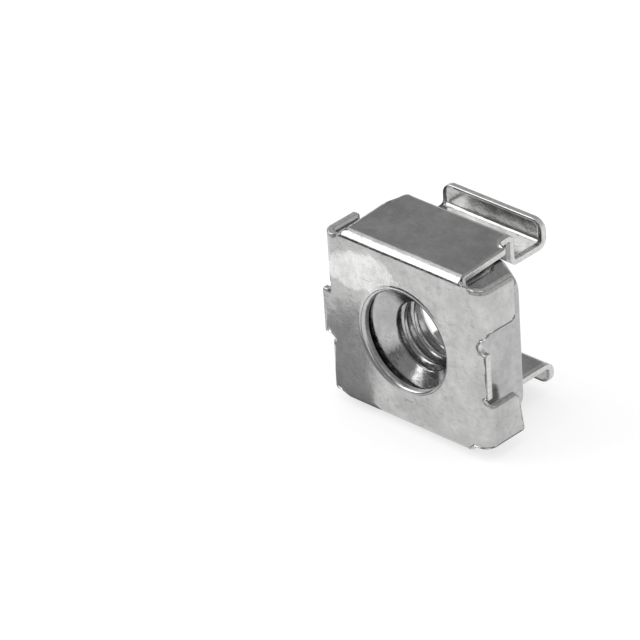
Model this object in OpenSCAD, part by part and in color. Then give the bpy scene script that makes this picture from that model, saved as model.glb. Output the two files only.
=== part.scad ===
// Rack cage nut: a square steel nut held loosely in a folded spring-steel cage.
// The cage clips into a 9.5 mm square rack hole, and an M6 screw enters from the wing side.
// Origin: on the thread's axis, halfway through the nut. X across, Y along the thread towards
// the wings, Z up.

/* [Sheet] */
// Thickness of the cage's spring-steel sheet
sheet_t = 0.45; // [0.35:0.05:0.55]
// Outer radius of the bends between the face plate and the end straps
bend_r = 0.75; // [0.65:0.05:0.9]
// Outer radius of the bends between the face plate and the side tabs
side_bend_r = 0.9; // [0.8:0.05:1]

/* [Face plate] */
// Width of the cage over the outside of its side tabs
case_w = 14.9; // [14.5:0.1:15.4]
// Height of the cage over its end straps, at the face plate
case_h = 13.94; // [13.8:0.02:14.4]
// Radius of the screw's clearance hole in the face plate
hole_r = 3.8; // [3.6:0.05:3.9]
// Radius of the rounded rim round the clearance hole
rim_r = 0.25; // [0.2:0.01:0.28]
// Reach of the side ears past the middle of the plate
ear_reach = 7.7; // [7.6:0.05:8]
// Height of the ears' top ends above the hole's centre
ear_top = 1.65; // [1.4:0.05:1.75]
// Depth of the ears' bottom ends below the hole's centre
ear_bottom = 1.95; // [1.4:0.05:2]
// Radius of the round reliefs above the ears
relief_top_r = 0.45; // [0.35:0.05:0.5]
// Radius of the small reliefs below the ears
relief_small_r = 0.36; // [0.3:0.02:0.4]
// How far the relief below the left ear reaches in from the ear's end
relief_reach = 0.85; // [0.6:0.05:0.9]

/* [End straps] */
// Width of the wide part of each strap
strap_w = 11.1; // [10.6:0.1:11.4]
// Distance from the face plate's outside to the straps' back corners
strap_l = 6.6; // [6.4:0.05:7]
// Angle by which the straps open towards the wings, in degrees
strap_flare = 3.5; // [1:0.5:5]
// Outer radius of the strap's back bend
back_r = 0.6; // [0.5:0.05:0.8]
// Distance from the face plate's outside to the end of the wide part
shoulder_y = 5; // [4.8:0.05:5.1]
// Radius of the wide part's rounded corners
shoulder_r = 0.45; // [0.3:0.05:0.5]
// Width by which the wide part narrows, over its left shoulder
shoulder_taper = 0.55; // [0.3:0.05:0.6]
// Radius of the fillet where the strap's root meets the plate's right corners
root_fillet_r = 0.5; // [0.3:0.05:0.6]
// Radius of the same fillet at the left corners
root_left_r = 0.9; // [0.5:0.05:0.95]

/* [Wings] */
// Width of the wings, which pass through the rack's square hole
wing_w = 9.35; // [9.2:0.05:9.4]
// Height of the upper wing's floor, its inner face, above the hole's centre
floor_top = 4.76; // [4.6:0.02:4.9]
// Depth of the lower wing's floor, its inner face, below the hole's centre
floor_bottom = 4.6; // [4.5:0.02:4.9]
// Distance from the face plate's outside to the upper wing's back face
wing_y = 9.9; // [9.6:0.05:10.2]
// How much further back the lower wing reaches
lower_reach = 0.2; // [0:0.05:0.3]
// Height of the upper wing's lip, from its floor's inner face to its tip
lip_h_top = 2.15; // [1.9:0.05:2.4]
// Height of the lower wing's shorter lip
lip_h_bottom = 1.85; // [1.5:0.05:2.4]
// Corner radius at the tips of the lips
lip_corner_r = 0.9; // [0.6:0.1:1.2]

/* [Side tabs] */
// Distance from the face plate's outside to the tabs' back edges, at their ear ends
tab_y = 3.45; // [3.3:0.05:3.7]
// Extra depth of the upper tabs' back edges at their strap ends
tab_slant_top = 0; // [0:0.05:0.4]
// Extra depth of the lower tabs' back edges at their strap ends
tab_slant_bottom = 0.4; // [0:0.05:0.4]
// Height of the tabs' near edges above and below the hole's centre
tab_in = 2.9; // [2.8:0.05:3]
// Height of the tabs' far edges above and below the hole's centre
tab_out = 6.35; // [6.1:0.05:6.4]
// How much higher the far edges of both right tabs sit
tab_right_rise = 0.15; // [0:0.05:0.15]
// Radius by which each tab widens at its root, towards the ear
tab_root_r = 0.7; // [0.5:0.05:0.75]

/* [Nut] */
// Free height between the nut and the two straps
nut_play = 0.64; // [0.4:0.02:1]
// Thickness of the nut
nut_t = 4.45; // [4.2:0.05:4.6]
// Size of the flat cut on each corner of the nut
nut_corner = 1.4; // [1:0.1:1.6]
// Radius of the plain bore at the thread's minor diameter
thread_minor_r = 2.46; // [2.4:0.01:2.5]
// Radius of the countersink's mouth on the face plate's side
sink_r = 3.95; // [3.6:0.05:4.05]
// Depth of that countersink
sink_depth = 1.25; // [1.1:0.05:1.4]
// Gap left between the nut and the strap that it stands on
rest_gap = 0.05; // [0.03:0.01:0.08]
// Gap between the nut's front and the inside of the face plate
front_gap = 0.45; // [0.2:0.05:0.5]

/* [Parts] */
// Part to build

/* [Hidden] */
case_hw = case_w / 2;
case_hh = case_h / 2;
// Width of the square nut across its flats: the space between the straps, less its play
nut_w = case_h - 2 * sheet_t - nut_play;
nut_front = sheet_t + front_gap;
nut_mid = nut_front + nut_t / 2;
// The nut stands on the lower strap, so the cage sits this much higher than the thread's axis
drop = case_hh - sheet_t - rest_gap - nut_w / 2;
crease_r = 0.2;
lip_r = 0.35;
flare = strap_flare;
// Length of the strap's flat, from its front bend to its back bend
strap_flat = (strap_l - back_r - bend_r * (1 - sin(flare)) - back_r * sin(flare)) / cos(flare);
strap_top = case_hh + bend_r * (cos(flare) - 1) + strap_flat * sin(flare);
// Height at which the back bend has turned parallel to the panel
shelf_top = strap_top - back_r * cos(flare);
steel = [0.66, 0.66, 0.65];
nut_steel = [0.6, 0.6, 0.6];

// Straight length of sheet, laid below the line that the path follows
module leg(l) {
    translate([0, -sheet_t]) square([l, sheet_t]);
}

// Part of a ring, between two radii, from angle a0 to angle a1
module arc_sheet(r_in, r_out, a0, a1) {
    far = 3 * r_out;
    intersection() {
        difference() {
            circle(r = r_out, $fn = 64);
            circle(r = r_in, $fn = 64);
        }
        polygon([[0, 0], [far * cos(a0), far * sin(a0)],
            [far * cos((a0 + a1) / 2), far * sin((a0 + a1) / 2)],
            [far * cos(a1), far * sin(a1)]]);
    }
}

// Side view of one end strap and its wing: across is Y, up is Z, for the upper end
module strap_side(floor_z, back_y, lip_h) {
    shelf_flat = shelf_top - floor_z - sheet_t - crease_r;
    floor_flat = back_y - sheet_t - lip_r - strap_l - crease_r;
    translate([bend_r, case_hh - bend_r]) {
        arc_sheet(bend_r - sheet_t, bend_r, 90 + flare, 180);
        rotate(flare) translate([0, bend_r]) {
            leg(strap_flat);
            translate([strap_flat, -back_r]) {
                arc_sheet(back_r - sheet_t, back_r, -flare, 90);
                rotate(-flare) translate([back_r, 0]) rotate(-90) {
                    leg(shelf_flat);
                    translate([shelf_flat, crease_r]) {
                        arc_sheet(crease_r, crease_r + sheet_t, -90, 0);
                        translate([crease_r, 0]) rotate(90) {
                            leg(floor_flat);
                            translate([floor_flat, lip_r]) {
                                arc_sheet(lip_r, lip_r + sheet_t, -90, 0);
                                translate([lip_r, 0]) rotate(90) leg(lip_h - sheet_t - lip_r);
                            }
                        }
                    }
                }
            }
        }
    }
    translate([0, case_hh - bend_r - 1]) square([sheet_t, 1]);
}

// Plan of a strap and its wing: wide part, rounded shoulders, narrow wing
module strap_plan(back_y) {
    w = strap_w / 2;
    n = wing_w / 2;
    r_out = shoulder_r;
    r_in = w - n - r_out;
    difference() {
        union() {
            // Left shoulder, which runs out to a wider back corner
            translate([-w, 0]) polygon([[0, shoulder_y - r_out], [shoulder_taper * 0.55, shoulder_y + r_out],
                [shoulder_taper, strap_l], [w, strap_l], [w, shoulder_y - r_out]]);
            translate([-w, -1]) square([strap_w, shoulder_y + 1 - r_out]);
            translate([-w + r_out, -1]) square([strap_w - 2 * r_out, shoulder_y + 1]);
            for (s = [-1, 1]) translate([s * (w - r_out), shoulder_y - r_out]) circle(r = r_out, $fn = 64);
            translate([-n - r_in, 0]) square([2 * (n + r_in), shoulder_y + r_in]);
            translate([-n, 0]) square([wing_w, back_y + 1]);
            // Roots that widen into the plate's corners
            translate([-w - root_left_r, -1]) square([w + root_left_r, 1 + root_left_r]);
            translate([0, -1]) square([w + root_fillet_r, 1 + root_fillet_r]);
        }
        translate([-w - root_left_r, root_left_r]) circle(r = root_left_r, $fn = 64);
        translate([w + root_fillet_r, root_fillet_r]) circle(r = root_fillet_r, $fn = 64);
        translate([n + r_in, shoulder_y + r_in]) circle(r = r_in, $fn = 64);
    }
}

// View of a wing from the back: square floor, rounded lip corners
module wing_back(floor_z, lip_h) {
    n = wing_w / 2;
    top = floor_z + lip_h;
    r = lip_corner_r;
    translate([-n, 0]) square([wing_w, top - r]);
    translate([-n + r, 0]) square([wing_w - 2 * r, top]);
    for (s = [-1, 1]) translate([s * (n - r), top - r]) circle(r = r, $fn = 64);
}

module end_strap(floor_z, back_y, lip_h) {
    intersection() {
        rotate([90, 0, 90]) linear_extrude(strap_w + 2, center = true) strap_side(floor_z, back_y, lip_h);
        linear_extrude(case_h) strap_plan(back_y);
        union() {
            translate([-case_w / 2, -1, 0]) cube([case_w, strap_l + crease_r + 1, case_h]);
            translate([0, back_y + 1, 0]) rotate([90, 0, 0]) linear_extrude(back_y + 1 - strap_l - crease_r) wing_back(floor_z, lip_h);
        }
    }
}

// Side view of one upper tab: across is Y, up is Z
module tab_outline(slant, out) {
    r_low = 0.45;
    r_top = 0.25;
    root = tab_root_r;
    difference() {
        union() {
            translate([-1, tab_in]) square([tab_y - r_low + 1, out - tab_in]);
            translate([0, tab_in + r_low]) polygon([[0, 0], [tab_y, 0],
                [tab_y + slant, out - tab_in - r_low - r_top],
                [tab_y + slant - r_top, out - tab_in - r_low], [0, out - tab_in - r_low]]);
            translate([tab_y - r_low, tab_in + r_low]) circle(r = r_low, $fn = 64);
            translate([tab_y + slant - r_top, out - r_top]) circle(r = r_top, $fn = 64);
            // Root that widens towards the relief
            translate([-1, tab_in - root]) square([1 + 0.35 + root, root + 0.1]);
        }
        translate([0.35 + root, tab_in - root]) circle(r = root, $fn = 64);
    }
}

module side_tab(slant, out) {
    intersection() {
        linear_extrude(case_hh) {
            translate([case_hw - side_bend_r, side_bend_r]) arc_sheet(side_bend_r - sheet_t, side_bend_r, -90, 0);
            translate([case_hw - sheet_t, side_bend_r]) square([sheet_t, tab_y + slant]);
            translate([case_hw - side_bend_r - 1, 0]) square([1, sheet_t]);
        }
        rotate([90, 0, 90]) linear_extrude(case_w) tab_outline(slant, out);
    }
}

// Front view of the flat face plate: across is X, up is Z
module plate_outline() {
    w = case_hw - side_bend_r;
    h = case_hh - bend_r;
    translate([-w, -tab_out]) square([w, 2 * tab_out]);
    translate([0, -tab_out + tab_right_rise]) square([w, 2 * tab_out]);
    translate([-strap_w / 2, -h]) square([strap_w, 2 * h]);
    translate([-ear_reach, -ear_bottom]) square([2 * ear_reach, ear_bottom + ear_top]);
    // Flat between the ears' ends and the roots of the tabs
    translate([-case_hw + relief_top_r, -tab_in + tab_root_r]) square([case_w - 2 * relief_top_r, 2 * (tab_in - tab_root_r)]);
}

// Round hole through the sheet, on an axis along Y
module relief(x, z, r) {
    translate([x, side_bend_r + 1, z]) rotate([90, 0, 0]) cylinder(r = r, h = side_bend_r + 2, $fn = 64);
}

module spring_cage() {
    color(steel) translate([0, -nut_mid, drop]) difference() {
        union() {
            translate([0, sheet_t, 0]) rotate([90, 0, 0]) linear_extrude(sheet_t) plate_outline();
            for (s = [0, 1]) mirror([0, 0, s]) {
                if (s == 0) end_strap(floor_top, wing_y, lip_h_top);
                else end_strap(floor_bottom, wing_y + lower_reach, lip_h_bottom);
                for (k = [0, 1]) mirror([k, 0, 0]) side_tab(s == 0 ? tab_slant_top : tab_slant_bottom, k == 1 ? tab_out : s == 0 ? tab_out + tab_right_rise : tab_out - tab_right_rise);
            }
            translate([0, rim_r * 0.4, 0]) rotate([90, 0, 0]) rotate_extrude($fn = 96)
                translate([hole_r + rim_r, 0]) circle(r = rim_r, $fn = 48);
        }
        translate([0, sheet_t + 1, 0]) rotate([90, 0, 0]) cylinder(r = hole_r, h = sheet_t + 2, $fn = 96);
        // Round reliefs between the ears and the tabs
        for (s = [-1, 1]) relief(s * case_hw, ear_top + relief_top_r, relief_top_r);
        relief(ear_reach, -ear_bottom - relief_small_r, relief_small_r);
        relief(-ear_reach + relief_reach - relief_small_r, -ear_bottom - relief_small_r, relief_small_r);
        translate([-ear_reach - 1, -1, -ear_bottom - 2 * relief_small_r])
            cube([1 + relief_reach - relief_small_r, side_bend_r + 2, 2 * relief_small_r]);
    }
}

// Outline of the nut's edges seen along X or Z: a rectangle with a small bevel
module beveled(l, t, b) {
    polygon([[-l, -t + b], [-l + b, -t], [l - b, -t], [l, -t + b], [l, t - b], [l - b, t], [-l + b, t], [-l, t - b]]);
}

module square_nut() {
    w = nut_w / 2;
    t = nut_t / 2;
    c = nut_corner;
    b = 0.2;
    color(nut_steel) difference() {
        intersection() {
            translate([0, t, 0]) rotate([90, 0, 0]) linear_extrude(nut_t)
                polygon([[-w, -w + c], [-w + c, -w], [w - c, -w], [w, -w + c], [w, w - c], [w - c, w], [-w + c, w], [-w, w - c]]);
            linear_extrude(nut_w + 2, center = true) beveled(w, t, b);
            rotate([90, 0, 90]) linear_extrude(nut_w + 2, center = true) rotate(90) beveled(w, t, b);
            rotate([90, 0, 0]) {
                hull_r = norm([w, w - c]) + 0.03;
                translate([0, 0, -t]) cylinder(r1 = hull_r - 0.45, r2 = hull_r, h = 0.45, $fn = 128);
                translate([0, 0, -t + 0.45]) cylinder(r = hull_r, h = nut_t - 0.9, $fn = 128);
                translate([0, 0, t - 0.45]) cylinder(r1 = hull_r, r2 = hull_r - 0.45, h = 0.45, $fn = 128);
            }
        }
        rotate([90, 0, 0]) {
            cylinder(r = thread_minor_r, h = nut_t + 2, center = true, $fn = 96);
            // Wide countersink on the face plate's side
            translate([0, 0, t - sink_depth]) cylinder(r1 = thread_minor_r, r2 = sink_r, h = sink_depth, $fn = 96);
            translate([0, 0, t]) cylinder(r = sink_r, h = 1, $fn = 96);
            // Small countersink on the wing side
            translate([0, 0, -t - 0.001]) cylinder(r1 = thread_minor_r + 0.65, r2 = thread_minor_r, h = 0.4, $fn = 96);
        }
    }
}

spring_cage();
square_nut();
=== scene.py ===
import math
from functools import partial

import bpy
from mathutils import Matrix, Quaternion, Vector
from mathutils.geometry import delaunay_2d_cdt


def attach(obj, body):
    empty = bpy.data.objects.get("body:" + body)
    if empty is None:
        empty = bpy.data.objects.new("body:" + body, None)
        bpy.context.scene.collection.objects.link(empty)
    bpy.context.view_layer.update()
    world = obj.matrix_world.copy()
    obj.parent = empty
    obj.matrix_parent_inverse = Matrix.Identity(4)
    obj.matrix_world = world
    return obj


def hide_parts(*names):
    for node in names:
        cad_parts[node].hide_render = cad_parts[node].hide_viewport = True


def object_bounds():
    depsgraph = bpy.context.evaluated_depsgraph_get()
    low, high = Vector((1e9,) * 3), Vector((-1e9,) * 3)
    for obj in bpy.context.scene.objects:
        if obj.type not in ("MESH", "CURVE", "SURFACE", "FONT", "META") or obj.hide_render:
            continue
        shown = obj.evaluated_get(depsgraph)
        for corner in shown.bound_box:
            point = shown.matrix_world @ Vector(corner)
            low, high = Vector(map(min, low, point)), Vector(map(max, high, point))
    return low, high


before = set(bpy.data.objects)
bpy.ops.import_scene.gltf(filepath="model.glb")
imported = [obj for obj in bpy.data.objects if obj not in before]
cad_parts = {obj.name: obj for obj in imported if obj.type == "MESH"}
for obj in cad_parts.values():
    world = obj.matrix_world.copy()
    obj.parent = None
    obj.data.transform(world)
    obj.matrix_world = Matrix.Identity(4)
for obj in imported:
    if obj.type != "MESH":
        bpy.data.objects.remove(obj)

cad_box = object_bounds()
MM = 0.001

# ---------------------------------------------------------------- sizes, in millimetres
# The sheet, its bends, and half the width and height of the folded case
sheet_t, bend_r, side_bend_r = 0.45, 0.75, 0.9
case_hw, case_hh = 7.45, 6.97
# The face plate's hole and its rolled rim
hole_r, rim_r, rim_rise, rim_spread = 3.8, 0.25, 0.07, 0.3
# The ears, which stand out at the sides between the tabs
ear_reach, ear_top, ear_bottom, ear_corner_r = 7.7, 1.65, 1.95, 0.1
# The end straps, their root fillets and their shoulders
strap_hw, strap_l, flare, back_r = 5.55, 6.6, math.radians(3.5), 0.6
root_right_r, root_left_r = 0.5, 0.9
shoulder_y, shoulder_r, shoulder_taper = 5.0, 0.45, 0.55
# The wings behind the straps: floor's height, reach along the thread, lip's height
wing_hw, crease_r, lip_r, lip_corner_r = 4.675, 0.2, 0.35, 0.9
upper_wing, lower_wing = (4.76, 9.9, 2.15), (4.6, 10.1, 1.85)
# The side tabs: depth, near and far edge, and the slope of the lower ones
tab_y, tab_in, tab_out, tab_right_rise, lower_slant = 3.45, 2.9, 6.35, 0.15, 0.4
tab_root_y, tab_root_r, tab_in_r, tab_out_r = 0.35, 0.7, 0.45, 0.25
# The nut, its thread and its two countersinks
nut_hw, nut_t, nut_corner, nut_edge = 6.2, 4.45, 1.4, 0.3
minor_r, major_r, pitch, thread_start = 2.46, 3.0, 1.0, 0.1
sink_r, sink_depth, back_sink = 4.05, 0.95, 0.85
# The face plate's outside lies nut_mid ahead of the nut's middle, its middle drop above the thread's axis
nut_mid, drop = 3.125, 0.27

side_line = case_hw - side_bend_r
end_line = case_hh - bend_r
# How far sheared edges are rolled, and the spacing of the sheet's mesh on flats and in bends
edge_roll, step, bend_step = 0.07, 0.35, math.radians(7.5)


# ---------------------------------------------------------------- node helpers
def feed(tree, socket, value):
    """Sets a socket to a value, or links it to another node's socket."""
    if isinstance(value, bpy.types.NodeSocket):
        tree.links.new(value, socket)
    else:
        socket.default_value = value


def node(tree, kind, inputs=(), **settings):
    """A node with its settings and its inputs, which are values or other nodes' sockets."""
    n = tree.nodes.new(kind)
    for key, value in settings.items():
        setattr(n, key, value)
    for key, value in dict(inputs).items():
        feed(tree, n.inputs[key], value)
    return n


def calc(tree, operation, *values, clamp=False):
    n = node(tree, "ShaderNodeMath", enumerate(values), operation=operation, use_clamp=clamp)
    return n.outputs[0]


def vector_calc(tree, operation, *values, scale=None):
    n = node(tree, "ShaderNodeVectorMath", enumerate(values), operation=operation)
    if scale is not None:
        feed(tree, n.inputs["Scale"], scale)
    return n.outputs["Value" if operation == "DOT_PRODUCT" else "Vector"]


def remap(tree, value, low, high, smooth=False, to=(0.0, 1.0)):
    inputs = {"Value": value, "From Min": low, "From Max": high, "To Min": to[0], "To Max": to[1]}
    return node(tree, "ShaderNodeMapRange", inputs,
                interpolation_type="SMOOTHSTEP" if smooth else "LINEAR").outputs[0]


def noise(tree, vector, scale, detail, rough=0.5, distortion=0.0):
    inputs = {"Vector": vector, "Scale": scale, "Detail": detail, "Roughness": rough, "Distortion": distortion}
    return node(tree, "ShaderNodeTexNoise", inputs).outputs[0]


def split(tree, vector):
    return node(tree, "ShaderNodeSeparateXYZ", {0: vector}).outputs


def stored(tree, name, kind):
    """Reads an attribute that the mesh or an earlier node has stored."""
    return node(tree, "GeometryNodeInputNamedAttribute", {"Name": name}, data_type=kind).outputs["Attribute"]


def group(name, kind, inputs, outputs):
    """A node group with named sockets; inputs are (name, socket type, default)."""
    g = bpy.data.node_groups.new(name, kind)
    for label, socket, default in inputs:
        s = g.interface.new_socket(label, in_out="INPUT", socket_type="NodeSocket" + socket)
        if default is not None:
            s.default_value = default
    for label, socket in outputs:
        g.interface.new_socket(label, in_out="OUTPUT", socket_type="NodeSocket" + socket)
    return g, g.nodes.new("NodeGroupInput"), g.nodes.new("NodeGroupOutput")


def finish_tree(tree, geometry, finish):
    """Closes a tree: instances made real, then the finish."""
    geometry = node(tree, "GeometryNodeRealizeInstances", {"Geometry": geometry}).outputs[0]
    return node(tree, "GeometryNodeSetMaterial", {"Geometry": geometry, "Material": finish}).outputs[0]


def run_nodes(piece, tree, values):
    """Runs the tree on the piece, then weights its normals, and keeps the result as a plain mesh."""
    m = piece.modifiers.new("shape", "NODES")
    m.node_group = tree
    for item in tree.interface.items_tree:
        if item.in_out == "INPUT" and item.name in values:
            m[item.identifier] = values[item.name]
    w = piece.modifiers.new("normals", "WEIGHTED_NORMAL")
    w.weight, w.keep_sharp = 60, False
    piece.data.shade_smooth()
    bpy.context.view_layer.update()
    graph = bpy.context.evaluated_depsgraph_get()
    evaluated = piece.evaluated_get(graph)
    result = bpy.data.meshes.new_from_object(evaluated, preserve_all_data_layers=True, depsgraph=graph)
    piece.modifiers.clear()
    piece.data = result
    result.name = piece.name
    return piece


# ---------------------------------------------------------------- the cage's flat blank
def strap_bends(floor_z, back_y, lip_h):
    """The four bends of one strap and its wing, as (start, radius, angle), and the blank's length."""
    quarter = math.pi / 2
    flat = strap_l - back_r - bend_r * (1 - math.sin(flare)) - back_r * math.sin(flare)
    flat /= math.cos(flare)
    top = case_hh + bend_r * (math.cos(flare) - 1) + flat * math.sin(flare)
    shelf = top - back_r * math.cos(flare) - floor_z - sheet_t - crease_r
    floor = back_y - sheet_t - lip_r - strap_l - crease_r
    bends, v = [], end_line
    for length, radius, angle in ((0, bend_r, quarter - flare), (flat, back_r, quarter + flare),
                                  (shelf, -crease_r, quarter), (floor, -lip_r, quarter)):
        v += length
        bends.append((v, radius, angle))
        v += abs(radius) * angle
    return bends, v + lip_h - sheet_t - lip_r


def rows_between(a, b, gap):
    n = max(1, round((b - a) / gap))
    return [a + (b - a) * i / n for i in range(n)]


def strap_rows(bends, tip):
    """Rows of points along a strap, close together where it bends."""
    rows, v = [], end_line
    for start, radius, angle in bends:
        rows += rows_between(v, start, step) if start > v else []
        v = start + abs(radius) * angle
        rows += rows_between(start, v, abs(radius) * bend_step)
    return rows + rows_between(v, tip, step * 0.7) + [tip]


def tab_u(y):
    """Place on the flat blank of a point of a side tab that lies at depth y once folded."""
    if y < side_bend_r:
        return side_line + side_bend_r * math.acos(1 - y / side_bend_r)
    return side_line + side_bend_r * math.pi / 2 + y - side_bend_r


def arc(cx, cy, r, a0, a1, count):
    turns = [math.radians(a0 + (a1 - a0) * i / count) for i in range(count + 1)]
    return [(cx + r * math.cos(a), cy + r * math.sin(a)) for a in turns]


tab_columns = rows_between(side_line, tab_u(side_bend_r), side_bend_r * bend_step)
tab_columns += rows_between(tab_u(side_bend_r), tab_u(tab_y + 0.45), step)
upper_bends, upper_tip = strap_bends(*upper_wing)
lower_bends, lower_tip = strap_bends(*lower_wing)


def tapered_side(shoulder, crease, taper):
    """A strap's left side: a long narrowing curve, then a step to the wing's width low on the shelf."""
    low, narrow = crease - 0.25, strap_hw - taper
    path = [(strap_hw, shoulder - 0.75), (strap_hw - 0.03, shoulder - 0.45), (strap_hw - 0.13, shoulder - 0.1),
            (strap_hw - taper * 0.52, shoulder + 0.3), (strap_hw - taper * 0.78, shoulder + 0.9),
            (narrow, shoulder + 1.6), (narrow, low - 0.3), (wing_hw + 0.2, low - 0.08), (wing_hw, low + 0.15)]
    side = [path[0]]
    for (ax, av), (bx, bv) in zip(path, path[1:]):
        n = max(1, round((bv - av) / 0.16))
        side += [(ax + (bx - ax) * i / n, av + (bv - av) * i / n) for i in range(1, n + 1)]
    return side


def stepped_side(shoulder):
    """A strap's right side: a rounded shoulder and a rounded inner corner down to the wing's width."""
    inner_r = strap_hw - wing_hw - shoulder_r
    side = arc(strap_hw - shoulder_r, shoulder - shoulder_r, shoulder_r, 0, 90, 8)
    return side + arc(wing_hw + inner_r, shoulder + inner_r, inner_r, 270, 180, 8)[1:]


def quarter_outline(ear_end, notch, slant, out, root_r, taper, bends, tip):
    """Outline of one quarter of the blank, from the ear's middle to the middle of the lip's tip."""
    # The ear, and the relief between ear and side tab
    pts = [(ear_reach, ear_end * i / 6) for i in range(6)]
    pts += arc(ear_reach - ear_corner_r, ear_end - ear_corner_r, ear_corner_r, 0, 90, 4)
    pts += notch
    # The side tab, drawn as it lies once folded
    tab_root = arc(tab_root_y + tab_root_r, tab_in - tab_root_r, tab_root_r, 150, 90, 6)
    pts += [(tab_u(y), z) for y, z in tab_root if z > notch[-1][1] + 0.04]
    y_in, y_out = tab_y - tab_in_r, tab_y + slant - tab_out_r
    near, far = tab_in + tab_in_r, out - tab_out_r
    first, last = tab_u(tab_root_y + tab_root_r) + 0.05, tab_u(y_in) - 0.05
    pts += [(u, tab_in) for u in tab_columns if first < u < last]
    tab = arc(y_in, near, tab_in_r, -90, 0, 8)
    tab += [(tab_y + slant * i / 8, near + (far - near) * i / 8) for i in range(1, 8)]
    tab += arc(y_out, far, tab_out_r, 0, 90, 6)
    pts += [(tab_u(y), z) for y, z in tab]
    pts += [(u, out) for u in reversed(tab_columns) if side_line - 0.01 < u < tab_u(y_out) - 0.05]
    if root_r < 0.8:
        pts += [(side_line - 0.25, out)]
    # The strap's root fillet, which runs up the bend
    fillet = arc(strap_hw + root_r, root_r, root_r, 262, 180, 9)
    fillet = [(x, end_line + bend_r * math.acos(1 - y / bend_r)) for x, y in fillet]
    pts += [p for p in fillet if p[1] > out + 0.02]
    # The strap's side, the wing's side and the lip's rounded corner
    shoulder = end_line + bend_r * (math.pi / 2 - flare) + shoulder_y - bend_r * (1 - math.sin(flare))
    side = tapered_side(shoulder, bends[2][0], taper) if taper else stepped_side(shoulder)
    rows = strap_rows(bends, tip)
    pts += [(strap_hw, v) for v in rows if pts[-1][1] + 0.04 < v < side[0][1] - 0.05]
    pts += side
    pts += [(wing_hw, v) for v in rows if side[-1][1] + 0.02 < v < tip - lip_corner_r - 0.03]
    pts += arc(wing_hw - lip_corner_r, tip - lip_corner_r, lip_corner_r, 0, 90, 12)
    pts += [(u * step, tip) for u in range(int((wing_hw - lip_corner_r) / step), 0, -1)]
    return pts + [(0, tip)]


def round_notch(r, ear_end, x):
    """Round relief whose lowest point touches the level of the ear's end."""
    return arc(x, ear_end + r, r, 270, 115, 12)


def blank_outline():
    """Outline of the whole blank, anticlockwise from the middle of the right ear."""
    slot = [(7.5, 1.95), (7.3, 2.0), (7.18, 2.1), (7.16, 2.22), (7.24, 2.34), (7.34, 2.44)]
    bite = [(7.62, 1.95), (7.4, 1.95)] + arc(7.21, ear_bottom + 0.36, 0.36, 270, 90, 10)
    bite += [(7.35, 2.67), (7.5, 2.67)]
    right, left = (root_right_r, 0), (root_left_r, shoulder_taper)
    upper, lower = (upper_bends, upper_tip), (lower_bends, lower_tip)
    corners = (
        (1, 1, ear_top, round_notch(0.43, ear_top, 7.43), 0, tab_out + tab_right_rise, *right, *upper),
        (-1, 1, ear_top, round_notch(0.4, ear_top, 7.33), 0, tab_out, *left, *upper),
        (-1, -1, ear_bottom, bite, lower_slant, tab_out, *left, *lower),
        (1, -1, ear_bottom, slot, lower_slant, tab_out - tab_right_rise, *right, *lower))
    loop = []
    for x_way, z_way, *sizes in corners:
        part = [(u * x_way, v * z_way) for u, v in quarter_outline(*sizes)]
        loop += (part if x_way == z_way else part[::-1])[:-1]
    return loop


def inset_loop(loop, amount):
    """The loop moved inwards by amount; the loop runs anticlockwise."""
    out, n = [], len(loop)
    for i, (x, y) in enumerate(loop):
        ax, ay = loop[i - 1]
        bx, by = loop[(i + 1) % n]
        dx, dy = bx - ax, by - ay
        length = math.hypot(dx, dy) or 1
        out.append((x - dy / length * amount, y + dx / length * amount))
    return out


def inside(loop, x, y):
    hit = False
    ax, ay = loop[-1]
    for bx, by in loop:
        if (by > y) != (ay > y) and x < (ax - bx) * (y - by) / (ay - by) + bx:
            hit = not hit
        ax, ay = bx, by
    return hit


def face_points(outer, hole_reach, clear):
    """Points spread over one face of the blank, on rows that follow its bends, clear of its outline."""
    cell = 0.5
    near = {}
    for x, y in outer:
        near.setdefault((round(x / cell), round(y / cell)), []).append((x, y))

    def free(x, y):
        cx, cy = round(x / cell), round(y / cell)
        close = [p for i in (-1, 0, 1) for j in (-1, 0, 1) for p in near.get((cx + i, cy + j), ())]
        return inside(outer, x, y) and all((px - x) ** 2 + (py - y) ** 2 >= clear ** 2 for px, py in close)

    columns = [i * step for i in range(-18, 19)] + [s * u for s in (-1, 1) for u in tab_columns]
    points = [(u, i * step) for i in range(-17, 18) for u in columns
              if math.hypot(u, i * step) > hole_reach + 0.15 and free(u, i * step)]
    for bends, tip, s in ((upper_bends, upper_tip, 1), (lower_bends, lower_tip, -1)):
        for v in strap_rows(bends, tip):
            points += [(i * step, s * v) for i in range(-17, 18) if free(i * step, s * v)]
    return points


def bead(r):
    """Height of the face plate's outside at distance r from the hole's axis, near its rolled rim."""
    past = min(1, (r - hole_r - rim_r) / rim_spread)
    return -rim_rise * (0.5 + 0.5 * math.cos(math.pi * past))


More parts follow.
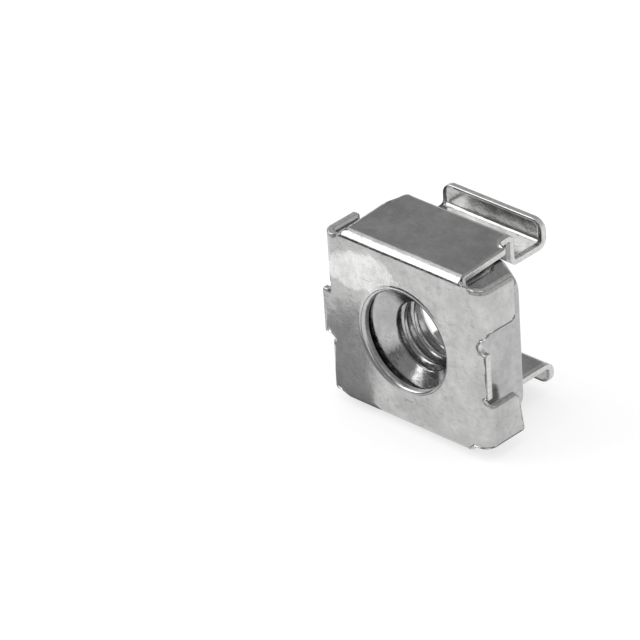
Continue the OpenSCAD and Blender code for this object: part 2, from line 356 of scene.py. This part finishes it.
def sheet_blank():
    """The flat stamped sheet as a closed solid with rolled edges; its outside lies at depth 0."""
    loop = blank_outline()
    # Inset and depth of each loop round the sheared edge, from the outside face to the inside face
    rows = [(edge_roll, 0.0), (edge_roll * 0.62, 0.012), (edge_roll * 0.28, 0.035), (0.0, 0.085),
            (0.0, 0.2), (0.0, sheet_t - 0.05), (0.012, sheet_t - 0.015), (0.035, sheet_t)]
    ring = 128
    angles = [2 * math.pi * i / ring for i in range(ring)]
    apex = hole_r + rim_r
    radii = [apex + d for d in (0.0, 0.03, 0.07, 0.11, 0.15, 0.19, 0.22, 0.26, 0.32, 0.4)]
    verts, faces = [], []

    def circle(r):
        return [(r * math.cos(a), r * math.sin(a)) for a in angles]

    def add_face(outer, circles, height, flip):
        """One face of the sheet, filled between its outline and the hole."""
        pts = [*outer]
        edges = [(i, (i + 1) % len(outer)) for i in range(len(outer))]
        for r in circles:
            base = len(pts)
            pts += circle(r)
            edges += [(base + i, base + (i + 1) % ring) for i in range(ring)]
        pts += face_points(outer, circles[-1], step * 0.42)
        co, _, tris, orig, _, _ = delaunay_2d_cdt([Vector(p) for p in pts], edges, [], 0, 1e-5)
        base = len(verts)
        where = {j: base + i for i, sources in enumerate(orig) for j in sources}
        verts.extend((p.x, height(math.hypot(p.x, p.y)), p.y) for p in co)
        inner = (circles[0] - 1e-4) * math.cos(math.pi / ring)
        for t in tris:
            cx, cy = sum(co[i].x for i in t) / 3, sum(co[i].y for i in t) / 3
            if math.hypot(cx, cy) > inner and inside(outer, cx, cy):
                f = [base + i for i in t]
                faces.append(f if flip else f[::-1])
        n = len(outer)
        return [where[i] for i in range(n)], [where[n + i] for i in range(ring)]

    def add_wall(loops):
        for a, b in zip(loops, loops[1:]):
            faces.extend([a[i - 1], a[i], b[i], b[i - 1]] for i in range(len(a)))

    def add_loop(points, y):
        base = len(verts)
        verts.extend((p[0], y, p[1]) for p in points)
        return list(range(base, base + len(points)))

    front, front_hole = add_face(inset_loop(loop, rows[0][0]), radii, bead, True)
    back, back_hole = add_face(inset_loop(loop, rows[-1][0]), [hole_r + 0.04], lambda r: sheet_t, False)
    add_wall([front] + [add_loop(inset_loop(loop, d), y) for d, y in rows[1:-1]] + [back])
    # The hole's wall, from the rolled rim to the inside face
    roll = [math.radians(a) for a in (15, 30, 45, 60, 75, 90)]
    walls = [(apex - rim_r * math.sin(a), rim_r - rim_rise - rim_r * math.cos(a)) for a in roll]
    walls += [(hole_r, 0.3), (hole_r, sheet_t - 0.05), (hole_r + 0.012, sheet_t - 0.015)]
    loops = [front_hole] + [add_loop(circle(r), y) for r, y in walls] + [back_hole]
    add_wall([l[::-1] for l in loops])
    return verts, faces


# ---------------------------------------------------------------- the folded cage
def fold_group():
    """One bend of the sheet: everything past Start along Direction turns by Angle round Radius."""
    g, gin, gout = group("fold_sheet", "GeometryNodeTree", [
        ("Geometry", "Geometry", None), ("Direction", "Vector", (0, 0, 1)), ("Start", "Float", 0.0),
        ("Radius", "Float", 0.001), ("Angle", "Float", 1.5708), ("Share", "Float", 1.0)], [("Geometry", "Geometry")])
    c = partial(calc, g)
    direction, start, radius = (gin.outputs[name] for name in ("Direction", "Start", "Radius"))
    place = node(g, "GeometryNodeInputPosition").outputs[0]
    along = vector_calc(g, "DOT_PRODUCT", stored(g, "blank", "FLOAT_VECTOR"), direction)
    now = vector_calc(g, "DOT_PRODUCT", place, direction)
    depth = split(g, place)[1]
    span = c("MULTIPLY", c("ABSOLUTE", radius), gin.outputs["Angle"])
    past = c("SUBTRACT", along, start)
    used = c("MULTIPLY", c("MAXIMUM", c("MINIMUM", past, span), 0.0), gin.outputs["Share"])
    turn = c("DIVIDE", used, radius)
    sine, cosine = c("SINE", turn), c("COSINE", turn)
    rest = c("SUBTRACT", c("SUBTRACT", now, start), used)
    arm = c("SUBTRACT", radius, depth)
    new_now = c("ADD", start, c("ADD", c("MULTIPLY", arm, sine), c("MULTIPLY", rest, cosine)))
    new_depth = c("ADD", c("SUBTRACT", radius, c("MULTIPLY", arm, cosine)), c("MULTIPLY", rest, sine))
    forward = vector_calc(g, "SCALE", direction, scale=c("SUBTRACT", new_now, now))
    inward = node(g, "ShaderNodeCombineXYZ", {1: c("SUBTRACT", new_depth, depth)}).outputs[0]
    out = node(g, "GeometryNodeSetPosition", {
        "Geometry": gin.outputs["Geometry"], "Selection": c("GREATER_THAN", past, 0.0),
        "Offset": vector_calc(g, "ADD", forward, inward)})
    g.links.new(out.outputs[0], gout.inputs[0])
    return g


def make_cage(face_finish, cut_finish):
    """The flat blank, folded at every bend by a tree of fold_sheet groups."""
    verts, faces = sheet_blank()
    mesh = bpy.data.meshes.new("cage")
    mesh.from_pydata([(x * MM, y * MM, z * MM) for x, y, z in verts], [], faces)
    mesh.update()
    mesh.validate()
    cage = bpy.data.objects.new("cage", mesh)
    bpy.context.scene.collection.objects.link(cage)
    fold = fold_group()
    g, gin, gout = group("folded_cage", "GeometryNodeTree", [
        ("Geometry", "Geometry", None), ("Plate middle height", "Float", 0.0), ("Plate depth", "Float", 0.0),
        ("Finish", "Material", None), ("Cut finish", "Material", None)], [("Geometry", "Geometry")])
    c = partial(calc, g)
    place = node(g, "GeometryNodeInputPosition").outputs[0]
    normal = node(g, "GeometryNodeInputNormal").outputs[0]
    geo = node(g, "GeometryNodeStoreNamedAttribute", {
        "Geometry": gin.outputs["Geometry"], "Name": "blank", "Value": place},
        data_type="FLOAT_VECTOR", domain="POINT").outputs[0]
    # Faces of the cut edge look sideways while the sheet is flat
    sideways = c("LESS_THAN", c("ABSOLUTE", split(g, normal)[1]), 0.55)
    geo = node(g, "GeometryNodeStoreNamedAttribute", {"Geometry": geo, "Name": "cut_edge", "Value": sideways},
               data_type="FLOAT", domain="FACE").outputs[0]
    # Straps fold where the sheet is narrow, and side tabs fold past the ears, with a short twist between
    across, _, height = split(g, stored(g, "blank", "FLOAT_VECTOR"))
    strap_share = c("LESS_THAN", c("ABSOLUTE", across), 6.4 * MM)
    tab_share = remap(g, c("ABSOLUTE", height), 1.98 * MM, 2.4 * MM, smooth=True)
    side_bends = [(side_line, side_bend_r, math.pi / 2)]
    for direction, bends, share in (((0, 0, 1), upper_bends, strap_share), ((0, 0, -1), lower_bends, strap_share),
                                    ((1, 0, 0), side_bends, tab_share), ((-1, 0, 0), side_bends, tab_share)):
        for start, radius, angle in reversed(bends):
            geo = node(g, "GeometryNodeGroup", {
                "Geometry": geo, "Share": share, "Direction": direction, "Start": start * MM,
                "Radius": radius * MM, "Angle": angle}, node_tree=fold).outputs[0]
    shift = node(g, "ShaderNodeCombineXYZ", {1: gin.outputs["Plate depth"], 2: gin.outputs["Plate middle height"]})
    geo = node(g, "GeometryNodeSetPosition", {"Geometry": geo, "Offset": shift.outputs[0]}).outputs[0]
    geo = finish_tree(g, geo, gin.outputs["Finish"])
    is_cut = c("GREATER_THAN", stored(g, "cut_edge", "FLOAT"), 0.5)
    geo = node(g, "GeometryNodeSetMaterial", {
        "Geometry": geo, "Selection": is_cut, "Material": gin.outputs["Cut finish"]}).outputs[0]
    g.links.new(geo, gout.inputs[0])
    return run_nodes(cage, g, {"Plate middle height": drop * MM, "Plate depth": -nut_mid * MM,
                               "Finish": face_finish, "Cut finish": cut_finish})


# ---------------------------------------------------------------- the threaded nut
def soft_octagon(angle):
    """Distance from the axis to the nut's outline, with its cut corners slightly rounded."""
    c, s = abs(math.cos(angle)), abs(math.sin(angle))
    limits = (nut_hw / max(c, s), (2 * nut_hw - nut_corner) / (c + s))
    sharpness = 42
    return sum(limit ** -sharpness for limit in limits) ** (-1 / sharpness)


def nut_section(mouth):
    """The nut's section as (part, value, y): rims and bore by radius, edges and faces by their reach."""
    half, break_y = nut_t / 2, 0.02
    section = [("rim", mouth + 0.05, half), ("rim", mouth, half - break_y)]
    for i in range(1, 92):
        y = half - break_y - (nut_t - 2 * break_y) * i / 92
        sink = (sink_r - minor_r) * (1 - (y + half) / sink_depth) if y + half < sink_depth else 0
        section.append(("bore", max(minor_r, mouth - (half - y), minor_r + sink), y))
    section += [("rim", sink_r, -half + break_y), ("rim", sink_r + 0.05, -half)]
    shares = (0.15, 0.35, 0.6, 0.85, 1.0)
    turns = [math.radians(15 * i) for i in range(7)]
    section += [("front", share, -half) for share in shares]
    section += [("edge", -nut_edge * (1 - math.sin(a)), -half + nut_edge * (1 - math.cos(a))) for a in turns[1:]]
    section += [("edge", 0.0, -half + nut_edge + (nut_t - 2 * nut_edge) * i / 8) for i in range(1, 8)]
    section += [("edge", -nut_edge * (1 - math.cos(a)), half - nut_edge * (1 - math.sin(a))) for a in turns[:-1]]
    return section + [("rear", share, half) for share in reversed(shares)]


def thread_group():
    """Cuts a helical groove into the bore's wall."""
    g, gin, gout = group("cut_thread", "GeometryNodeTree", [
        ("Geometry", "Geometry", None), ("Pitch", "Float", 0.001), ("Crest radius", "Float", 0.0025),
        ("Root radius", "Float", 0.003), ("Start", "Float", 0.0), ("Finish", "Material", None)],
        [("Geometry", "Geometry")])
    c = partial(calc, g)
    place = node(g, "GeometryNodeInputPosition").outputs[0]
    x, y, z = split(g, place)
    crest, root = gin.outputs["Crest radius"], gin.outputs["Root radius"]
    radius = c("SQRT", c("ADD", c("MULTIPLY", x, x), c("MULTIPLY", z, z)))
    turn = c("DIVIDE", c("ARCTAN2", x, z), 2 * math.pi)
    climb = c("SUBTRACT", c("DIVIDE", y, gin.outputs["Pitch"]), turn)
    phase = c("FRACT", c("ADD", climb, gin.outputs["Start"]))
    wedge = c("SUBTRACT", 1.0, c("MULTIPLY", c("ABSOLUTE", c("SUBTRACT", phase, 0.5)), 2.0))
    soft, straight = remap(g, wedge, 0.2, 0.88, smooth=True), remap(g, wedge, 0.22, 0.88)
    groove = c("ADD", c("MULTIPLY", soft, 0.35), c("MULTIPLY", straight, 0.65))
    cut = c("ADD", crest, c("MULTIPLY", groove, c("SUBTRACT", root, crest)))
    grow = c("DIVIDE", c("SMOOTH_MAX", radius, cut, 0.04 * MM), radius)
    stretch = node(g, "ShaderNodeCombineXYZ", {0: grow, 1: 1.0, 2: grow}).outputs[0]
    geo = node(g, "GeometryNodeSetPosition", {
        "Geometry": gin.outputs["Geometry"], "Selection": c("GREATER_THAN", stored(g, "bore", "FLOAT"), 0.5),
        "Position": vector_calc(g, "MULTIPLY", place, stretch)}).outputs[0]
    g.links.new(finish_tree(g, geo, gin.outputs["Finish"]), gout.inputs[0])
    return g


def make_nut(finish):
    """A closed ring of sections round the bore, whose wall then gets its helical thread."""
    around = 256
    mouth = minor_r + back_sink
    section = nut_section(mouth)
    verts, bore_mask = [], []
    for part, value, y in section:
        for i in range(around):
            a = 2 * math.pi * i / around
            rim = soft_octagon(a)
            if part in ("rim", "bore"):
                r = value
            elif part == "edge":
                r = rim + value
            else:
                inner = (sink_r if part == "front" else mouth) + 0.05
                r = inner + (rim - nut_edge - inner) * value
            verts.append((r * math.cos(a) * MM, y * MM, r * math.sin(a) * MM))
            bore_mask.append(1.0 if part == "bore" else 0.0)
    faces = []
    n = len(section)
    for k in range(n):
        for i in range(around):
            j, m = (i + 1) % around, (k + 1) % n
            faces.append([k * around + i, m * around + i, m * around + j, k * around + j])
    mesh = bpy.data.meshes.new("nut")
    mesh.from_pydata(verts, [], faces)
    mesh.attributes.new("bore", "FLOAT", "POINT").data.foreach_set("value", bore_mask)
    mesh.update()
    nut = bpy.data.objects.new("nut", mesh)
    bpy.context.scene.collection.objects.link(nut)
    return run_nodes(nut, thread_group(), {
        "Pitch": pitch * MM, "Crest radius": minor_r * MM, "Root radius": major_r * MM,
        "Start": thread_start, "Finish": finish})


# ---------------------------------------------------------------- finishes
def wear_group():
    """Marks of bright plating: cloudy tone, fine scratches, specks and a slightly wavy surface."""
    g, gin, gout = group("plating_wear", "ShaderNodeTree", [
        ("Vector", "Vector", None), ("Base", "Color", (0.6, 0.6, 0.6, 1)), ("Cloud", "Float", 0.1),
        ("Scratches", "Float", 0.5), ("Shine", "Float", 0.2)],
        [("Color", "Color"), ("Roughness", "Float"), ("Height", "Float")])
    c, vector = partial(calc, g), gin.outputs["Vector"]
    cloud = noise(g, vector, 0.45, 4.0, 0.6)
    blotch = noise(g, vector, 2.2, 5.0, 0.65, 0.6)
    # Three sets of thin lines, each along its own way and kept to a few places
    lines = 0.0
    for turn, size in ((0.4, 1.0), (1.5, 1.3), (2.6, 0.9)):
        drawn = node(g, "ShaderNodeMapping", {
            "Vector": vector, "Rotation": (turn * 0.7, turn, turn * 1.3),
            "Scale": (0.5 * size, 9.0 * size, 9.0 * size)}).outputs[0]
        thin = remap(g, c("ABSOLUTE", c("SUBTRACT", noise(g, drawn, 1.0, 2.0), 0.5)), 0.02, 0.0)
        rare = remap(g, noise(g, vector, 0.8 * size + turn * 0.1, 1.0), 0.56, 0.64)
        lines = c("MAXIMUM", lines, c("MULTIPLY", thin, rare))
    dots = node(g, "ShaderNodeTexVoronoi", {"Vector": vector, "Scale": 2.6}, feature="F1").outputs["Distance"]
    specks = c("MULTIPLY", remap(g, dots, 0.09, 0.04), c("GREATER_THAN", blotch, 0.56))
    marks = c("MULTIPLY", c("MAXIMUM", lines, specks), gin.outputs["Scratches"], clamp=True)
    mottle = c("ADD", c("MULTIPLY", cloud, 0.7), c("MULTIPLY", blotch, 0.3))
    tone = c("ADD", 1.0, c("MULTIPLY", c("SUBTRACT", mottle, 0.5), gin.outputs["Cloud"]))
    tone = c("MULTIPLY", tone, c("SUBTRACT", 1.0, c("MULTIPLY", marks, 0.45)))
    dulled = c("ADD", c("MULTIPLY", c("SUBTRACT", blotch, 0.45), 0.14), c("MULTIPLY", marks, 0.25))
    height = c("SUBTRACT", c("ADD", cloud, c("MULTIPLY", blotch, 0.12)), c("MULTIPLY", marks, 0.03))
    g.links.new(vector_calc(g, "SCALE", gin.outputs["Base"], scale=tone), gout.inputs["Color"])
    g.links.new(c("ADD", gin.outputs["Shine"], dulled, clamp=True), gout.inputs["Roughness"])
    g.links.new(height, gout.inputs["Height"])
    return g


def painted_reflection_patch(tree, place, color, rough):
    """Painted reflection on the upper left of the face plate: a patch whose colour is lightened to stand in for a
    reflection and made a little rougher, with fine upright scratches.
    """
    c = partial(calc, tree)
    (middle_x, middle_z), (half_w, half_h), tilt, face_y = (-3.9, 4.95), (3.4, 1.55), 0.12, -2.95
    x, y, z = split(tree, place)
    across = c("DIVIDE", c("SUBTRACT", x, middle_x), half_w)
    rise = c("DIVIDE", c("SUBTRACT", c("SUBTRACT", z, middle_z), c("MULTIPLY", x, tilt)), half_h)
    reach = c("SQRT", c("ADD", c("MULTIPLY", across, across), c("MULTIPLY", rise, rise)))
    ragged = c("MULTIPLY", c("SUBTRACT", noise(tree, place, 1.1, 4.0, 0.65), 0.5), 0.9)
    patch = remap(tree, c("ADD", reach, ragged), 1.06, 0.86, smooth=True)
    patch = c("MULTIPLY", patch, c("LESS_THAN", y, face_y))
    upright = node(tree, "ShaderNodeMapping", {"Vector": place, "Scale": (11.0, 1.0, 0.9)}).outputs[0]
    grain = c("SUBTRACT", noise(tree, upright, 1.0, 5.0, 0.7, 0.3), 0.5)
    lines = remap(tree, c("ABSOLUTE", grain), 0.03, 0.0)
    # The patch's colour is raised about 1.6 times, a painted reflection; the thin upright lines are scratches
    shade = c("MULTIPLY", c("ADD", 1.62, c("MULTIPLY", grain, 0.5)), c("SUBTRACT", 1.0, c("MULTIPLY", lines, 0.3)))
    factor = c("ADD", 1.0, c("MULTIPLY", patch, c("SUBTRACT", shade, 1.0)))
    return vector_calc(tree, "SCALE", color, scale=factor), c("ADD", rough, c("MULTIPLY", patch, 0.12))


wear = wear_group()


def plated(name, base, cloud, scratches, shine, wave, finer=1, with_painted_reflection=False):
    """A plated finish: its colour, how cloudy and scratched it is, its roughness and its waves in mm."""
    m = bpy.data.materials.new(name)
    m.use_nodes = True
    t = m.node_tree
    shader = t.nodes["Principled BSDF"]
    shader.inputs["Metallic"].default_value = 1.0
    where = node(t, "ShaderNodeTexCoord").outputs["Object"]
    place = node(t, "ShaderNodeMapping", {"Vector": where, "Scale": (finer / MM,) * 3}).outputs[0]
    color, rough, height = node(t, "ShaderNodeGroup", {
        "Vector": place, "Base": (*base, 1), "Cloud": cloud, "Scratches": scratches, "Shine": shine},
        node_tree=wear).outputs
    # Lightens a patch of the colour: a painted reflection
    if with_painted_reflection:
        color, rough = painted_reflection_patch(t, place, color, rough)
    bump = node(t, "ShaderNodeBump", {"Height": height, "Strength": 1.0, "Distance": wave * MM}).outputs[0]
    for label, source in (("Base Color", color), ("Roughness", rough), ("Normal", bump)):
        t.links.new(source, shader.inputs[label])
    return m


# The face plate's finish carries a painted reflection: a lightened patch at its upper left
sheet_finish = plated("plated_sheet", (0.5, 0.5, 0.496), 1.2, 1.0, 0.17, 0.035, with_painted_reflection=True)
cut_finish = plated("sheared_edge", (0.64, 0.64, 0.63), 1.2, 0.3, 0.36, 0.06, finer=9)
nut_finish = plated("plated_nut", (0.45, 0.45, 0.45), 1.4, 0.9, 0.15, 0.03)

cage = make_cage(sheet_finish, cut_finish)
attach(cage, "root")
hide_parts("spring_cage")
nut = make_nut(nut_finish)
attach(nut, "root")
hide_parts("square_nut")

# The carried solids keep a finish of their own too
for name, finish in (("spring_cage", sheet_finish), ("square_nut", nut_finish)):
    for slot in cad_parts[name].material_slots:
        slot.material = finish


# ---------------------------------------------------------------- floor and backdrop
scene = bpy.context.scene
scene.view_settings.view_transform = "Standard"
middle = Vector((0, -nut_mid, drop)) * MM
floor_z = cad_box[0][2] - 0.02 * MM


def plane_mesh(name, place, half_side, half_rise, material):
    """A staged flat sheet, spread from its middle by its two half sides."""
    corners = [place + half_side * i + half_rise * j for i, j in ((-1, -1), (1, -1), (1, 1), (-1, 1))]
    mesh = bpy.data.meshes.new(name)
    mesh.from_pydata([tuple(c) for c in corners], [], [(0, 1, 2, 3)])
    mesh.materials.append(material)
    o = bpy.data.objects.new(name, mesh)
    scene.collection.objects.link(o)
    return o


def matt(name, grey):
    m = bpy.data.materials.new(name)
    m.use_nodes = True
    m.node_tree.nodes["Principled BSDF"].inputs["Base Color"].default_value = (grey, grey, grey, 1)
    return m


def white_floor():
    """Pale paint that looks white to the camera and in mirrors, and still takes the part's shadow."""
    paint = matt("floor_paint", 0.9)
    t = paint.node_tree
    shader = t.nodes["Principled BSDF"]
    shader.inputs["Roughness"].default_value = 0.9
    glow = node(t, "ShaderNodeEmission", {"Color": (1, 1, 1, 1), "Strength": 1.0})
    rays = node(t, "ShaderNodeLightPath").outputs
    seen = calc(t, "MAXIMUM", rays["Is Camera Ray"], rays["Is Glossy Ray"])
    seen = calc(t, "MAXIMUM", seen, rays["Is Transmission Ray"])
    mixed = node(t, "ShaderNodeMixShader", {
        "Fac": calc(t, "MULTIPLY", seen, 0.65), 1: shader.outputs[0], 2: glow.outputs[0]})
    t.links.new(mixed.outputs[0], t.nodes["Material Output"].inputs["Surface"])
    return paint


floor_half = 0.6
plane_mesh("floor", Vector((0, 0, floor_z)), Vector((floor_half, 0, 0)), Vector((0, floor_half, 0)), white_floor())

world = bpy.data.worlds.new("studio")
scene.world = world
world.use_nodes = True
t = world.node_tree
back = t.nodes["Background"]
# Mirrors see a grey studio that pales towards the horizon; all else gets plain white light
up = split(t, node(t, "ShaderNodeTexCoord").outputs["Generated"])[2]
grey = remap(t, up, 0.0, 0.4, smooth=True, to=(0.7, 0.33))
studio = node(t, "ShaderNodeCombineColor", {0: grey, 1: grey, 2: grey}).outputs[0]
mix = node(t, "ShaderNodeMix", data_type="RGBA")
feed(t, mix.inputs["Factor"], node(t, "ShaderNodeLightPath").outputs["Is Glossy Ray"])
feed(t, mix.inputs["A"], (1, 1, 1, 1))
feed(t, mix.inputs["B"], studio)
feed(t, back.inputs["Color"], mix.outputs["Result"])
back.inputs["Strength"].default_value = 1.0


# ---------------------------------------------------------------- lights, cards and camera
def softbox(name, place, width, height, power):
    """A soft rectangular lamp aimed at the part's middle."""
    light = bpy.data.lights.new(name, "AREA")
    light.shape, light.size, light.size_y, light.energy = "RECTANGLE", width, height, power
    o = bpy.data.objects.new(name, light)
    o.location = place
    o.rotation_euler = (middle - place).to_track_quat("-Z", "Y").to_euler()
    scene.collection.objects.link(o)


# Name, way from the part's middle, distance, width, height in metres, and power
for name, way, far, width, height, power in (
        ("left_box", (-0.60, -0.46, 0.50), 0.55, 0.42, 0.38, 1.25),
        ("high_box", (-0.62, 0.14, 0.78), 0.55, 0.3, 0.16, 0.12),
        ("top_box", (0.2, -0.1, 1.0), 0.5, 0.2, 0.15, 0.25),
        ("right_box", (0.9, 0.45, 0.35), 0.5, 0.2, 0.25, 0.3),
        ("back_box", (0.1, 0.9, 0.5), 0.6, 0.3, 0.2, 0.18)):
    softbox(name, middle + Vector(way) * far, width, height, power)


def card(name, place, half_side, half_rise, grey):
    """Grey card that only mirrors see."""
    o = plane_mesh(name, place, half_side, half_rise, matt(name + "_cloth", grey))
    o.visible_camera = o.visible_diffuse = o.visible_shadow = False


# A dark card to the left draws the line under the front bend, and a grey one flat on the floor
# shades the face plate's left side
left, along, upright = Vector((-0.697, -0.717, 0)), Vector((0.717, -0.697, 0)), Vector((0, 0, 1))
card("left_flag", middle + left * 0.08 + upright * 0.008, along * 0.1, upright * 0.015, 0.03)
on_floor = Vector((middle.x, middle.y, floor_z + 0.1 * MM))
card("floor_flag", on_floor + left * 0.00975 - along * 0.0057, along * 0.0033, left * 0.00775, 0.24)

# The camera looks at the part from its front right and above; its turn is an axis times an angle
turn = Vector((-0.96434, -0.42376, -0.64890))
axes = Quaternion(turn.normalized(), turn.length).to_matrix()
distance = 0.40445
camera = bpy.data.cameras.new("camera")
camera.sensor_width, camera.lens = 36, 328.259
camera.shift_x, camera.shift_y = -0.13209, 0.034035
camera.clip_start, camera.clip_end = 0.01, 10
eye = bpy.data.objects.new("camera", camera)
place = Matrix.Translation(middle + axes[2] * distance)
eye.matrix_world = place @ axes.transposed().to_4x4()
scene.collection.objects.link(eye)
scene.camera = eye
